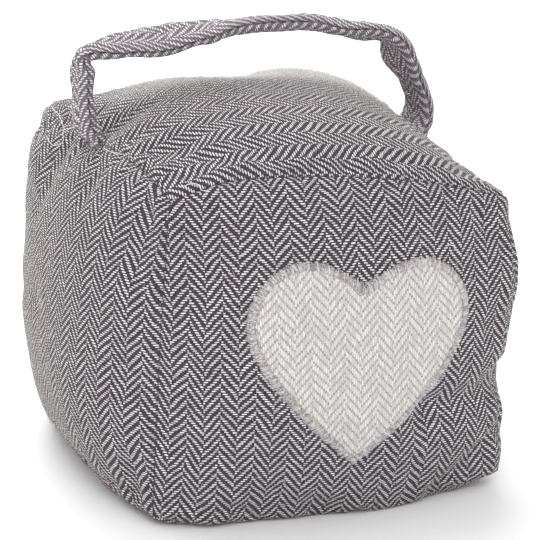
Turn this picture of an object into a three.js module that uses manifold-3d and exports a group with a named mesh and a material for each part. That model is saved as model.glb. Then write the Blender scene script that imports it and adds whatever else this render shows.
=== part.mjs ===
// Weighted fabric door stop: a sewn, sand-filled cube with a strap handle and a heart appliqué.
// Millimetres, +Z up. The origin lies in the middle of the flat base, and the heart faces -Y.
import * as THREE from 'three';
import { mergeVertices } from 'three/addons/utils/BufferGeometryUtils.js';
import Module from 'manifold-3d';

const wasm = await Module();
wasm.setup();

// Driving sizes of the bag, from sewn corner to sewn corner
const bagWidth = 125;
const bagDepth = 124;
const bagHeight = 108.5;
const baseSeamLift = 3.4;

// How far the filling swells each panel past its seams
const leftCrown = 13.1;
const rightCrown = 9.8;
const frontCrown = 11.1;
const backCrown = 11;
const baseCrown = 8.1;
const topCrown = 10.5;
const crownPower = 3;
const onPanel = 0.9999;

// Pulls, bows, lumps and folds are written as percentages of the bag's width
const percent = bagWidth / 100;

// Where the filling has pulled each sewn corner away from a true box
const cornerPull = [
  { corner: [-1, -1, -1], pull: [-0.8, 1.5, -0.4] },
  { corner: [1, -1, -1], pull: [-0.9, 1.4, 0.9] },
  { corner: [-1, 1, -1], pull: [-2.4, 0.3, -0.2] },
  { corner: [1, 1, -1], pull: [-1.7, 0.2, 0.9] },
  { corner: [-1, -1, 1], pull: [3.4, -0.6, 2.4] },
  { corner: [1, -1, 1], pull: [-1, 1, -7.5] },
  { corner: [-1, 1, 1], pull: [-0.1, -1.9, 1.8] },
  { corner: [1, 1, 1], pull: [5.4, 0.2, -2.2] },
];

// How far the middle of each seam bows: the zero in `side` is the axis that the seam runs along
const seamBow = [
  { side: [0, -1, -1], bow: [0, -6.3, -4] },
  { side: [0, -1, 1], bow: [0, -2.7, 5] },
  { side: [0, 1, -1], bow: [0, 3.1, -2.7] },
  { side: [0, 1, 1], bow: [0, -5.1, 7] },
  { side: [-1, 0, -1], bow: [-3.3, 0, -2.9] },
  { side: [-1, 0, 1], bow: [-3, 0, 2.3] },
  { side: [1, 0, -1], bow: [-0.8, 0, -2.7] },
  { side: [1, 0, 1], bow: [-8.4, 0, 4.3] },
  { side: [-1, -1, 0], bow: [-1, -1.4, 0] },
  { side: [-1, 1, 0], bow: [-2.3, 4.3, 0] },
  { side: [1, -1, 0], bow: [-0.8, -3, 0] },
  { side: [1, 1, 0], bow: [1.3, 4.1, 0] },
];

// Each seam is a sewn groove
const seamGrooveDepth = 1.2;
const seamGrooveWidth = 2.3;

// Soft lumps of filling: `at` is a place in shares of the half width, half depth and height
const fillingLumps = [
  { at: [-1.1, 0.78, 0.93], radius: 17.6, height: 5.6 },
  { at: [-1.05, -0.35, 0.2], radius: 20.8, height: 1 },
  { at: [-0.76, -1.1, 0.01], radius: 10.4, height: 2 },
  { at: [1.05, -1, 0.66], radius: 12.8, height: 2.7 },
  { at: [-0.75, 1, 1.02], radius: 12.8, height: 1.1 },
  { at: [1.02, 0.5, 1], radius: 12.8, height: -0.8 },
  { at: [-1.1, 0.8, 0.45], radius: 14.4, height: 2.1 },
  { at: [-1.1, 0.85, 0.68], radius: 7.2, height: -1.6 },
  { at: [0.95, -1.05, 0.02], radius: 10.4, height: 1.4 },
  { at: [0.3, -1.1, 0], radius: 14.4, height: 0.9 },
  { at: [-1.05, 0.7, 0.08], radius: 12.8, height: 1.6 },
  { at: [1, -0.2, 1.02], radius: 11.2, height: 0.9 },
  { at: [0.18, 0.72, 1.12], radius: 13.6, height: 1.4 },
  { at: [0.5, 0.85, 1.07], radius: 11.2, height: 3 },
  { at: [-0.12, 0.5, 1.15], radius: 13.6, height: -3.7 },
];

// Folds where the cloth is pinched at the front right and the far left, between two such places
const clothFolds = [
  { from: [0.97, -0.97, 0.33], to: [0.42, -1.22, 0.31], width: 4.8, depth: 4.2 },
  { from: [0.92, -1.05, 0.16], to: [0.55, -1.1, 0.02], width: 3.6, depth: 1.4 },
  { from: [-1.29, 0.25, 0.49], to: [-1.15, 0.8, 0.46], width: 4, depth: 1.7 },
  { from: [-1.24, 0.35, 0.79], to: [-1.12, 0.85, 0.83], width: 4, depth: 0.9 },
];

// The strap handle: a flattened tube of cloth sewn into the two side seams of the top
const strapWidth = 18;
const strapThickness = 5.4;
const strapRise = 36;
const strapSetBack = 5;
const strapSkew = 2.5;
const strapSeatClearance = 0.3;
const strapTuckDepth = 5;
const strapCornerPower = 3.2;
const strapSeamGroove = 1.3;

// Route of the strap from the left foot to the right one: its place along the span, its height
// as a share of the rise, how wide it is there as a share of its width, and its twist in degrees
const strapRoute = [
  { along: 0, up: 0, wide: 0.82, twist: 2 },
  { along: -0.027, up: 0.105, wide: 0.67, twist: -9 },
  { along: -0.036, up: 0.294, wide: 0.69, twist: -7 },
  { along: -0.037, up: 0.621, wide: 0.79, twist: -4 },
  { along: -0.031, up: 0.771, wide: 0.65, twist: 12 },
  { along: 0.08, up: 0.865, wide: 0.86, twist: -11 },
  { along: 0.19, up: 0.915, wide: 0.99, twist: -16 },
  { along: 0.306, up: 0.987, wide: 1.26, twist: -2 },
  { along: 0.47, up: 1.05, wide: 0.79, twist: 15 },
  { along: 0.643, up: 1.082, wide: 0.87, twist: 10 },
  { along: 0.754, up: 1.036, wide: 0.91, twist: 3 },
  { along: 0.845, up: 0.989, wide: 1.01, twist: 14 },
  { along: 0.93, up: 0.934, wide: 1.2, twist: 1 },
  { along: 0.96, up: 0.701, wide: 1.19, twist: 10 },
  { along: 1.001, up: 0.505, wide: 1.07, twist: 0 },
  { along: 1.025, up: 0.302, wide: 1.05, twist: 1 },
  { along: 1.024, up: 0.146, wide: 1.05, twist: 3 },
  { along: 1, up: 0, wide: 1.14, twist: 4 },
];

// The heart appliqué on the front panel, with a raised satin-stitched edging round it
const heartWidth = 77.4;
const heartHeight = 69.4;
const heartNotchDepth = 7.1;
const heartLobeSpread = 39;
const heartWidestBelowTop = 20;
const heartCentreX = 0.9;
const heartTipHeight = 21.2;

// The heart was sewn on slightly crooked: its turn is in degrees, and its tip leans to the left
const heartTurn = 1.2;
const heartLean = 1.8;

// How full the heart's curves are, as shares of the sizes that they run along
const notchReach = 0.37;
const notchRise = 0.51;
const lobeInnerReach = 0.62;
const lobeOuterReach = 0.8;
const shoulderRise = 0.48;
const flankFall = 0.31;
const flankReach = 0.42;
const tipRise = 0.27;
const curvePoints = 12;

const appliqueThickness = 1;
const edgingWidth = 2.8;
const edgingThickness = 1.5;
const sewnClearance = 0.3;
const steepestMitre = 0.3;

// How finely the panels and the strap are divided
const panelSegments = 22;
const strapSteps = 54;
const strapSides = 16;
const seamCrowding = 0.9;
const weldDistance = 1e-4;

const tweed = new THREE.MeshStandardMaterial({ color: 0x8d878b, roughness: 0.95, metalness: 0 });
const strapTweed = new THREE.MeshStandardMaterial({ color: 0x878186, roughness: 0.95, metalness: 0 });
const paleTweed = new THREE.MeshStandardMaterial({ color: 0xdcd9d4, roughness: 0.95, metalness: 0 });
const thread = new THREE.MeshStandardMaterial({ color: 0xaaa4a6, roughness: 0.8, metalness: 0 });

const bagMiddle = new THREE.Vector3(0, 0, baseSeamLift + bagHeight / 2);

// A place given as shares of the half width, half depth and height
function placeOnBag([across, back, up]) {
  return new THREE.Vector3(across * bagWidth / 2, back * bagDepth / 2, baseSeamLift + up * bagHeight);
}

const lumps = fillingLumps.map(({ at, radius, height }) => ({
  centre: placeOnBag(at),
  radius: radius * percent,
  height: height * percent,
}));
const folds = clothFolds.map(({ from, to, width, depth }) => ({
  line: new THREE.Line3(placeOnBag(from), placeOnBag(to)),
  width: width * percent,
  depth: depth * percent,
}));

// The six panels: the axis across each one, the way it faces and how far it swells
const panels = [
  { axis: 0, facing: -1, crown: leftCrown },
  { axis: 0, facing: 1, crown: rightCrown },
  { axis: 1, facing: -1, crown: frontCrown },
  { axis: 1, facing: 1, crown: backCrown },
  { axis: 2, facing: -1, crown: baseCrown },
  { axis: 2, facing: 1, crown: topCrown },
];

function nearness(share, halfSize) {
  const distance = (1 - Math.abs(share)) * halfSize;
  return Math.exp(-((distance / seamGrooveWidth) ** 2));
}

// The filled bag's surface: (a, b, c) runs over the faces of the cube from -1 to 1
function bagSurface(a, b, c, swell = 0) {
  const share = [a, b, c];
  const half = [bagWidth / 2, bagDepth / 2, bagHeight / 2];
  const point = new THREE.Vector3();
  for (const { corner, pull } of cornerPull) {
    const weight = corner.reduce((product, sign, axis) => product * (1 + sign * share[axis]) / 2, 1);
    const sewn = corner.map((sign, axis) => sign * half[axis] + pull[axis] * percent);
    point.addScaledVector(new THREE.Vector3(...sewn), weight);
  }
  for (const { side, bow } of seamBow) {
    const weight = side.reduce((product, sign, axis) => {
      const factor = sign === 0 ? 1 - share[axis] ** 2 : (1 + sign * share[axis]) / 2;
      return product * factor;
    }, 1);
    point.addScaledVector(new THREE.Vector3(...bow), weight * percent);
  }
  point.add(bagMiddle);
  for (const { axis, facing, crown } of panels) {
    if (share[axis] * facing < onPanel) continue;
    const [s, t] = share.filter((value, index) => index !== axis);
    const rise = (1 - Math.abs(s) ** crownPower) * (1 - Math.abs(t) ** crownPower);
    point.setComponent(axis, point.getComponent(axis) + facing * crown * rise);
  }
  const near = share.map((value, axis) => nearness(value, half[axis]));
  const seamNearness = [...near].sort((low, high) => low - high)[1];
  for (let axis = 0; axis < 3; axis += 1) {
    const move = swell - seamGrooveDepth * seamNearness;
    const shift = Math.sign(share[axis]) * near[axis] * move;
    point.setComponent(axis, point.getComponent(axis) + shift);
  }
  const outward = point.clone().sub(bagMiddle).normalize();
  let swelling = 0;
  for (const { centre, radius, height } of lumps) {
    swelling += height * Math.exp(-((point.distanceTo(centre) / radius) ** 2));
  }
  for (const { line, width, depth } of folds) {
    const onLine = line.closestPointToPoint(point, true, new THREE.Vector3());
    swelling -= depth * Math.exp(-((point.distanceTo(onLine) / width) ** 2));
  }
  point.addScaledVector(outward, swelling);
  point.z = Math.max(point.z, -swell);
  return point;
}

// Rows of the grid lie closer together towards the seams
function towardsSeams(share) {
  const reach = seamCrowding * Math.PI / 2;
  return Math.sin(share * reach) / Math.sin(reach);
}

function positionsOnly(geometry) {
  geometry.deleteAttribute('normal');
  geometry.deleteAttribute('uv');
  return mergeVertices(geometry, weldDistance);
}

function filledBag(swell = 0) {
  const n = panelSegments;
  const geometry = positionsOnly(new THREE.BoxGeometry(2, 2, 2, n, n, n));
  const position = geometry.getAttribute('position');
  const place = new THREE.Vector3();
  for (let i = 0; i < position.count; i += 1) {
    place.fromBufferAttribute(position, i);
    const point = bagSurface(towardsSeams(place.x), towardsSeams(place.y), towardsSeams(place.z), swell);
    position.setXYZ(i, point.x, point.y, point.z);
  }
  return geometry;
}

// A skin of cloth that lies on the front panel, between two distances from it
function frontSkin(inner, outer) {
  const under = filledBag().translate(0, -inner, 0);
  const over = filledBag().translate(0, -outer, 0);
  return solidOf(over).subtract(solidOf(under));
}

// The heart's outline in the XZ plane before it is turned, from the notch down the right and back up
function uprightHeart() {
  const notch = heartHeight - heartNotchDepth;
  const widest = heartHeight - heartWidestBelowTop;
  const half = heartWidth / 2;
  const lobe = heartLobeSpread / 2;
  const notchEase = heartHeight - heartNotchDepth * notchRise;
  const shoulder = widest + heartWidestBelowTop * shoulderRise;
  const shape = new THREE.Shape();
  shape.moveTo(0, notch);
  shape.bezierCurveTo(lobe * notchReach, notchEase, lobe * lobeInnerReach, heartHeight, lobe, heartHeight);
  shape.bezierCurveTo(half * lobeOuterReach, heartHeight, half, shoulder, half, widest);
  shape.bezierCurveTo(half, widest * (1 - flankFall), half * flankReach, widest * tipRise, 0, 0);
  const rightHalf = shape.getPoints(curvePoints);
  const leftHalf = rightHalf.slice(1, -1).reverse().map((point) => new THREE.Vector2(-point.x, point.y));
  return [...rightHalf, ...leftHalf];
}

// The outline where it is sewn, drawn in by a margin
function heartOutline(margin) {
  const middle = new THREE.Vector2(0, heartHeight / 2);
  const place = new THREE.Vector2(heartCentreX, heartTipHeight);
  const outline = uprightHeart().map((point) => {
    point.x += heartLean * (point.y - middle.y) / heartHeight;
    return point.rotateAround(middle, -THREE.MathUtils.degToRad(heartTurn)).add(place);
  });
  return outline.map((point, i) => {
    const before = outline[(i + outline.length - 1) % outline.length];
    const after = outline[(i + 1) % outline.length];
    const into = point.clone().sub(before).normalize();
    const away = after.clone().sub(point).normalize();
    const inward = new THREE.Vector2(into.y + away.y, -into.x - away.x).normalize();
    const mitre = margin / Math.max(steepestMitre, Math.abs(into.x * inward.y - into.y * inward.x));
    return point.clone().addScaledVector(inward, mitre);
  });
}

function heartPrism(margin) {
  const depth = bagDepth;
  const geometry = new THREE.ExtrudeGeometry(new THREE.Shape(heartOutline(margin)), {
    depth,
    bevelEnabled: false,
  });
  geometry.rotateX(Math.PI / 2);
  return positionsOnly(geometry);
}

function solidOf(geometry) {
  return new wasm.Manifold(new wasm.Mesh({
    numProp: 3,
    vertProperties: new Float32Array(geometry.getAttribute('position').array),
    triVerts: new Uint32Array(geometry.getIndex().array),
  }));
}

function geometryOf(solid) {
  const mesh = solid.getMesh();
  const geometry = new THREE.BufferGeometry();
  geometry.setAttribute('position', new THREE.BufferAttribute(new Float32Array(mesh.vertProperties), 3));
  geometry.setIndex(new THREE.BufferAttribute(new Uint32Array(mesh.triVerts), 1));
  return geometry;
}

// The strap's middle line, from inside one side seam of the top to inside the other
const leftSeat = bagSurface(-1, 2 * strapSetBack / bagDepth, 1);
const rightSeat = bagSurface(1, 2 * (strapSetBack + strapSkew) / bagDepth, 1);

function strapLine() {
  const points = strapRoute.map(({ along, up }) => {
    const point = leftSeat.clone().lerp(rightSeat, along);
    point.z += up * strapRise;
    return point;
  });
  const down = new THREE.Vector3(0, 0, -strapTuckDepth);
  points.unshift(leftSeat.clone().add(down));
  points.push(rightSeat.clone().add(down));
  return new THREE.CatmullRomCurve3(points, false, 'centripetal');
}

// A value of the route between its points, at a share of the whole line
function alongRoute(name, share) {
  const values = strapRoute.map((stop) => stop[name]);
  const padded = [values[0], ...values, values[values.length - 1]];
  const place = THREE.MathUtils.clamp(share, 0, 1) * (padded.length - 1);
  const before = Math.min(Math.floor(place), padded.length - 2);
  const mix = THREE.MathUtils.smoothstep(place - before, 0, 1);
  return THREE.MathUtils.lerp(padded[before], padded[before + 1], mix);
}

// The strap as a loft of rounded flat sections, turned about its middle line
// Its two folded edges meet along the front, in a shallow groove
function strapGeometry() {
  const line = strapLine();
  const positions = [];
  const indices = [];
  for (let step = 0; step <= strapSteps; step += 1) {
    const share = step / strapSteps;
    const centre = line.getPoint(share);
    const tangent = line.getTangent(share);
    const twist = THREE.MathUtils.degToRad(alongRoute('twist', share));
    const across = new THREE.Vector3(0, 1, 0).addScaledVector(tangent, -tangent.y).normalize();
    across.applyAxisAngle(tangent, -twist);
    const outward = new THREE.Vector3().crossVectors(across, tangent).normalize();
    const halfWidth = strapWidth * alongRoute('wide', share) / 2;
    const halfThickness = strapThickness / 2;
    for (let side = 0; side < strapSides; side += 1) {
      const angle = 2 * Math.PI * side / strapSides;
      const cosine = Math.cos(angle);
      const sine = Math.sin(angle);
      const round = (cosine ** 2) ** (strapCornerPower / 2) + (sine ** 2) ** (strapCornerPower / 2);
      const reach = round ** (-1 / strapCornerPower);
      const point = centre.clone();
      const groove = side === strapSides / 2 ? strapSeamGroove : 0;
      point.addScaledVector(across, halfWidth * cosine * reach + groove);
      point.addScaledVector(outward, halfThickness * sine * reach);
      positions.push(point.x, point.y, point.z);
    }
  }
  const ring = (step, side) => step * strapSides + (side % strapSides);
  for (let step = 0; step < strapSteps; step += 1) {
    for (let side = 0; side < strapSides; side += 1) {
      indices.push(ring(step, side), ring(step + 1, side), ring(step + 1, side + 1));
      indices.push(ring(step, side), ring(step + 1, side + 1), ring(step, side + 1));
    }
  }
  for (let side = 1; side < strapSides - 1; side += 1) {
    indices.push(ring(0, 0), ring(0, side), ring(0, side + 1));
    indices.push(ring(strapSteps, 0), ring(strapSteps, side + 1), ring(strapSteps, side));
  }
  const geometry = new THREE.BufferGeometry();
  geometry.setAttribute('position', new THREE.Float32BufferAttribute(positions, 3));
  geometry.setIndex(indices);
  return geometry;
}

function namedMesh(name, geometry, material) {
  const mesh = new THREE.Mesh(geometry, material);
  mesh.name = name;
  return mesh;
}

function body() {
  return namedMesh('body', filledBag(), tweed);
}

function handle() {
  const seat = solidOf(filledBag(strapSeatClearance));
  return namedMesh('handle', geometryOf(solidOf(strapGeometry()).subtract(seat)), strapTweed);
}

function heartApplique() {
  const skin = frontSkin(sewnClearance, sewnClearance + appliqueThickness);
  const prism = solidOf(heartPrism(edgingWidth + sewnClearance));
  return namedMesh('heart_applique', geometryOf(skin.intersect(prism)), paleTweed);
}

function heartEdging() {
  const skin = frontSkin(sewnClearance, sewnClearance + edgingThickness);
  const rim = solidOf(heartPrism(0)).subtract(solidOf(heartPrism(edgingWidth)));
  return namedMesh('heart_edging', geometryOf(skin.intersect(rim)), thread);
}

const doorStop = new THREE.Group();
doorStop.add(body(), handle(), heartApplique(), heartEdging());

export default doorStop;
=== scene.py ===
"""A weighted fabric door stop: a filled herringbone cube with a strap handle and a heart appliqué."""

import math

import bmesh
import bpy
import numpy as np
from mathutils import Matrix, Vector, noise
from mathutils.bvhtree import BVHTree


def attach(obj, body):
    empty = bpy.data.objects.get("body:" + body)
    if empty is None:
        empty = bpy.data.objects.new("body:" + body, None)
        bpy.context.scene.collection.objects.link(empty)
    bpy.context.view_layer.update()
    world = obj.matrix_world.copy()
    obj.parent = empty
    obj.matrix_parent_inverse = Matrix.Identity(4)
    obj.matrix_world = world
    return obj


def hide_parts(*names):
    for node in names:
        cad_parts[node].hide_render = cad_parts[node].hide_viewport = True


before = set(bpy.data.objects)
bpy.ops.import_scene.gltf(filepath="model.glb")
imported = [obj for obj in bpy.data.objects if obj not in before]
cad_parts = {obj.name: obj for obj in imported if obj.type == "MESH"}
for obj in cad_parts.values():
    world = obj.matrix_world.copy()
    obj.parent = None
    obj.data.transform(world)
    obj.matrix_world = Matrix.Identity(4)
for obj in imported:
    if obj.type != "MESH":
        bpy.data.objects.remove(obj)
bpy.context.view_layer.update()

# The filled bag
# Six panels of wool-look herringbone cloth are sewn into a cube, filled with sand and loose fibre
# and closed. The filling swells every panel, pulls the corners about and flattens the base.
MM = 0.001
BAG_HALF = np.array([125, 124, 108.5]) / 2
BASE_SEAM_LIFT = 3.4
BAG_MIDDLE = np.array([0, 0, BASE_SEAM_LIFT + BAG_HALF[2]])
CROWN_POWER = 3
# A cube coordinate past this lies on the panel's own face
ON_PANEL = 0.9999
# Pulls, bows, lumps and folds are written as percentages of the bag's width
PERCENT = 2 * BAG_HALF[0] / 100
PANEL_CROWNS = [
    (0, -1, 13.1),
    (0, 1, 9.8),
    (1, -1, 11.1),
    (1, 1, 11),
    (2, -1, 8.1),
    (2, 1, 10.5),
]
CORNER_PULLS = [
    ((-1, -1, -1), (-0.8, 1.5, -0.4)),
    ((1, -1, -1), (-0.9, 1.4, 0.9)),
    ((-1, 1, -1), (-2.4, 0.3, -0.2)),
    ((1, 1, -1), (-1.7, 0.2, 0.9)),
    ((-1, -1, 1), (3.4, -0.6, 2.4)),
    ((1, -1, 1), (-1, 1, -7.5)),
    ((-1, 1, 1), (-0.1, -1.9, 1.8)),
    ((1, 1, 1), (5.4, 0.2, -2.2)),
]
SEAM_BOWS = [
    ((0, -1, -1), (0, -6.3, -4)),
    ((0, -1, 1), (0, -2.7, 5)),
    ((0, 1, -1), (0, 3.1, -2.7)),
    ((0, 1, 1), (0, -5.1, 7)),
    ((-1, 0, -1), (-3.3, 0, -2.9)),
    ((-1, 0, 1), (-3, 0, 2.3)),
    ((1, 0, -1), (-0.8, 0, -2.7)),
    ((1, 0, 1), (-8.4, 0, 4.3)),
    ((-1, -1, 0), (-1, -1.4, 0)),
    ((-1, 1, 0), (-2.3, 4.3, 0)),
    ((1, -1, 0), (-0.8, -3, 0)),
    ((1, 1, 0), (1.3, 4.1, 0)),
]
FILLING_LUMPS = [
    ((-1.1, 0.78, 0.93), 17.6, 5.6),
    ((-1.05, -0.35, 0.2), 20.8, 1),
    ((-0.76, -1.1, 0.01), 10.4, 2),
    ((1.05, -1, 0.66), 12.8, 2.7),
    ((-0.75, 1, 1.02), 12.8, 1.1),
    ((1.02, 0.5, 1), 12.8, -0.8),
    ((-1.1, 0.8, 0.45), 14.4, 2.1),
    ((-1.1, 0.85, 0.68), 7.2, -1.6),
    ((0.95, -1.05, 0.02), 10.4, 1.4),
    ((0.3, -1.1, 0), 14.4, 0.9),
    ((-1.05, 0.7, 0.08), 12.8, 1.6),
    ((1, -0.2, 1.02), 11.2, 0.9),
    ((0.18, 0.72, 1.12), 13.6, 1.4),
    ((0.5, 0.85, 1.07), 11.2, 3),
    ((-0.12, 0.5, 1.15), 13.6, -3.7),
]
CLOTH_FOLDS = [
    ((0.97, -0.97, 0.33), (0.42, -1.22, 0.31), 4.8, 4.2),
    ((0.92, -1.05, 0.16), (0.55, -1.1, 0.02), 3.6, 1.4),
    ((-1.29, 0.25, 0.49), (-1.15, 0.8, 0.46), 4, 1.7),
    ((-1.24, 0.35, 0.79), (-1.12, 0.85, 0.83), 4, 0.9),
]
SEAM_GROOVE_DEPTH = 1.2
SEAM_GROOVE_WIDTH = 2.3
PANEL_CELLS = 56


def place_on_bag(share):
    """A place given as shares of the half width, half depth and height, in mm."""
    across, back, up = share
    return np.array([across * BAG_HALF[0], back * BAG_HALF[1], BASE_SEAM_LIFT + up * 2 * BAG_HALF[2]])


def bag_surface(cube):
    """Where the points of a cube from -1 to 1 lie on the filled bag, in mm."""
    points = np.zeros_like(cube)
    for corner, pull in CORNER_PULLS:
        weight = np.prod((1 + cube * corner) / 2, axis=1)
        points += weight[:, None] * (BAG_HALF * corner + np.array(pull) * PERCENT)
    for side, bow in SEAM_BOWS:
        weight = np.prod(np.where(np.array(side) == 0, 1 - cube ** 2, (1 + cube * side) / 2), axis=1)
        points += weight[:, None] * np.array(bow) * PERCENT
    points += BAG_MIDDLE
    for axis, facing, crown in PANEL_CROWNS:
        first, second = [other for other in range(3) if other != axis]
        rise = (1 - np.abs(cube[:, first]) ** CROWN_POWER) * (1 - np.abs(cube[:, second]) ** CROWN_POWER)
        on_panel = cube[:, axis] * facing > ON_PANEL
        points[:, axis] += facing * crown * rise * on_panel
    near = np.exp(-((1 - np.abs(cube)) * BAG_HALF / SEAM_GROOVE_WIDTH) ** 2)
    seam = np.sort(near, axis=1)[:, 1:2]
    points -= np.sign(cube) * near * seam * SEAM_GROOVE_DEPTH
    outward = points - BAG_MIDDLE
    outward /= np.linalg.norm(outward, axis=1)[:, None]
    swelling = np.zeros(len(points))
    for share, radius, height in FILLING_LUMPS:
        distance = np.linalg.norm(points - place_on_bag(share), axis=1)
        swelling += height * PERCENT * np.exp(-(distance / (radius * PERCENT)) ** 2)
    for start, end, width, depth in CLOTH_FOLDS:
        first, last = place_on_bag(start), place_on_bag(end)
        run = last - first
        along = np.clip((points - first) @ run / (run @ run), 0, 1)
        distance = np.linalg.norm(points - first - along[:, None] * run, axis=1)
        swelling -= depth * PERCENT * np.exp(-(distance / (width * PERCENT)) ** 2)
    points += outward * swelling[:, None]
    points[:, 2] = np.maximum(points[:, 2], 0)
    return points


def read_points(mesh):
    flat = np.empty(len(mesh.vertices) * 3)
    mesh.vertices.foreach_get("co", flat)
    return flat.reshape(-1, 3)


def write_points(mesh, points):
    mesh.vertices.foreach_set("co", np.ascontiguousarray(points, dtype=float).ravel())
    mesh.update()


def new_piece(name, bm):
    """A finished bmesh as an object at the origin."""
    mesh = bpy.data.meshes.new(name)
    bm.to_mesh(mesh)
    bm.free()
    piece = bpy.data.objects.new(name, mesh)
    bpy.context.scene.collection.objects.link(piece)
    return piece


def lengths_from_middle(rows, step_scale=1):
    """Distance along each row of points from the row's middle point, with a sign."""
    steps = np.linalg.norm(np.diff(rows, axis=1), axis=2) * step_scale
    run = np.concatenate([np.zeros((len(rows), 1)), np.cumsum(steps, axis=1)], axis=1)
    middle = run.shape[1] // 2
    return run - run[:, middle:middle + 1]


# The axes that run across and along the herringbone columns of each panel, by the panel's own axis
WEAVE_AXES = {0: (1, 2), 1: (0, 2), 2: (1, 0)}
# The filling has drawn the columns of the left and top panels wider, most of all near the front:
# by how much at the middle of the panel, and how much more at its front seam
COLUMN_STRETCH = {(0, -1): (1.09, 0.09), (2, 1): (1.11, 0.05)}
# The top panel's threads also cross a little off square, by this much along for each mm across
COLUMN_SKEW = {(2, 1): -0.08}


def lay_weave(mesh, cube):
    """Gives each panel its cloth's own UV maps in millimetres, measured along the filled surface.

    The weave map runs from the panel's middle, and the seams map holds the distance to the seams.
    """
    points = read_points(mesh) / MM
    count = PANEL_CELLS + 1
    index = np.rint((cube + 1) / 2 * PANEL_CELLS).astype(int)
    layer = mesh.uv_layers.new(name="weave")
    seams = mesh.uv_layers.new(name="seams")
    uv = np.zeros((len(mesh.loops), 2))
    seam_uv = np.zeros((len(mesh.loops), 2))
    loop_vertex = np.empty(len(mesh.loops), dtype=int)
    mesh.loops.foreach_get("vertex_index", loop_vertex)
    loop_total = np.empty(len(mesh.polygons), dtype=int)
    mesh.polygons.foreach_get("loop_total", loop_total)
    polygon_of_loop = np.repeat(np.arange(len(mesh.polygons)), loop_total)
    for axis, facing, _ in PANEL_CROWNS:
        on_panel = cube[:, axis] * facing > ON_PANEL
        whole = np.bincount(polygon_of_loop, weights=on_panel[loop_vertex]) == loop_total
        across, along = WEAVE_AXES[axis]
        table = np.zeros((count, count, 3))
        table[index[on_panel, along], index[on_panel, across]] = points[on_panel]
        width = lengths_from_middle(table)
        height = lengths_from_middle(table.transpose(1, 0, 2)).T
        middle, more = COLUMN_STRETCH.get((axis, facing), (1, 0))
        stretch = middle - more * np.linspace(-1, 1, count)
        narrowed = lengths_from_middle(table, 1 / stretch[:-1])
        loops = np.where(whole[polygon_of_loop])[0]
        vertex = loop_vertex[loops]
        row, column = index[vertex, along], index[vertex, across]
        uv[loops, 0] = narrowed[row, column]
        uv[loops, 1] = (height + narrowed * COLUMN_SKEW.get((axis, facing), 0))[row, column]
        seam_uv[loops, 0] = np.minimum(width - width[:, :1], width[:, -1:] - width)[row, column]
        seam_uv[loops, 1] = np.minimum(height - height[:1], height[-1:] - height)[row, column]
    layer.data.foreach_set("uv", uv.ravel())
    seams.data.foreach_set("uv", seam_uv.ravel())


bm = bmesh.new()
bmesh.ops.create_cube(bm, size=2)
bmesh.ops.subdivide_edges(bm, edges=bm.edges[:], cuts=PANEL_CELLS - 1, use_grid_fill=True)
bag = new_piece("bag", bm)
cube_points = np.clip(read_points(bag.data), -1, 1)
filled = bag_surface(cube_points)
# Small puckers run out from the seams, where the thread has drawn the cloth up
PUCKER_HEIGHT = 0.5
PUCKER_REACH = 7
PUCKER_LENGTH = 7
# Points closer to a seam than this, in mm, lie on it
ON_SEAM = 0.1
outward = filled - BAG_MIDDLE
outward /= np.linalg.norm(outward, axis=1)[:, None]
from_edges = np.sort((1 - np.abs(cube_points)) * BAG_HALF, axis=1)
pucker = np.array([noise.noise(Vector(point) / PUCKER_LENGTH) for point in filled])
pucker *= PUCKER_HEIGHT * 2 * np.exp(-from_edges[:, 1] / PUCKER_REACH) * (from_edges[:, 1] > ON_SEAM)
filled += outward * pucker[:, None]
# The front left corner slumps, and the top sinks beside the two feet of the strap: each place on
# the cube, how far beside it the middle lies, the radius and the depth, in mm
SLUMPS = [
    ((-1, -1, 1), (0, 0, 0), 12, 3.8),
    ((-1, 0.08, 1), (7, -2, 0), 7.5, 3.6),
    ((1, 0.1, 1), (-8, -3, 0), 8, 2),
]
for corner, beside, radius, depth in SLUMPS:
    low_place = bag_surface(np.array([corner], dtype=float))[0] + beside
    near = np.exp(-(np.linalg.norm(filled - low_place, axis=1) / radius) ** 2)
    filled[:, 2] -= depth * near
filled[:, 2] = np.maximum(filled[:, 2], 0)
write_points(bag.data, filled * MM)
lay_weave(bag.data, cube_points)
bag.data.shade_smooth()
# Along the back of the top, near where it turns down, a pale colour is painted into the cloth: partly the
# pale nap where the cloth is brushed up, and partly painted highlight for the light that grazes it from
# behind
NAP_AND_HIGHLIGHT_MIDDLE = 0.52
NAP_AND_HIGHLIGHT_WIDTH = 0.24
nap_and_painted_highlight = np.exp(-((cube_points[:, 1] - NAP_AND_HIGHLIGHT_MIDDLE) / NAP_AND_HIGHLIGHT_WIDTH) ** 2) * (cube_points[:, 2] > ON_PANEL)
# Nap and painted highlight are thickest round the middle, and thin out toward the strap's two feet
NAP_AND_HIGHLIGHT_PLACES = [-1, -0.85, -0.65, -0.45, -0.2, 0.1, 0.5, 0.9, 1]
NAP_AND_HIGHLIGHT_SHARES = [0, 0, 0.35, 1, 1.25, 1.15, 0.9, 0.4, 0]
nap_and_painted_highlight *= np.interp(cube_points[:, 0], NAP_AND_HIGHLIGHT_PLACES, NAP_AND_HIGHLIGHT_SHARES)
bag.data.attributes.new("nap_and_painted_highlight", "FLOAT", "POINT").data.foreach_set("value", nap_and_painted_highlight.astype(np.float32))

# The cloth is then pressed out by its filling in a short simulation, with its seams and base held.
# It starts inside the filled shape and may move out no further than the cap.
SLACK = 1
MOVE_CAP = 1.5
CLOTH_FRAMES = 20
# Cloth lower than this, in mm, lies on the floor
BASE_CONTACT = 0.5


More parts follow.
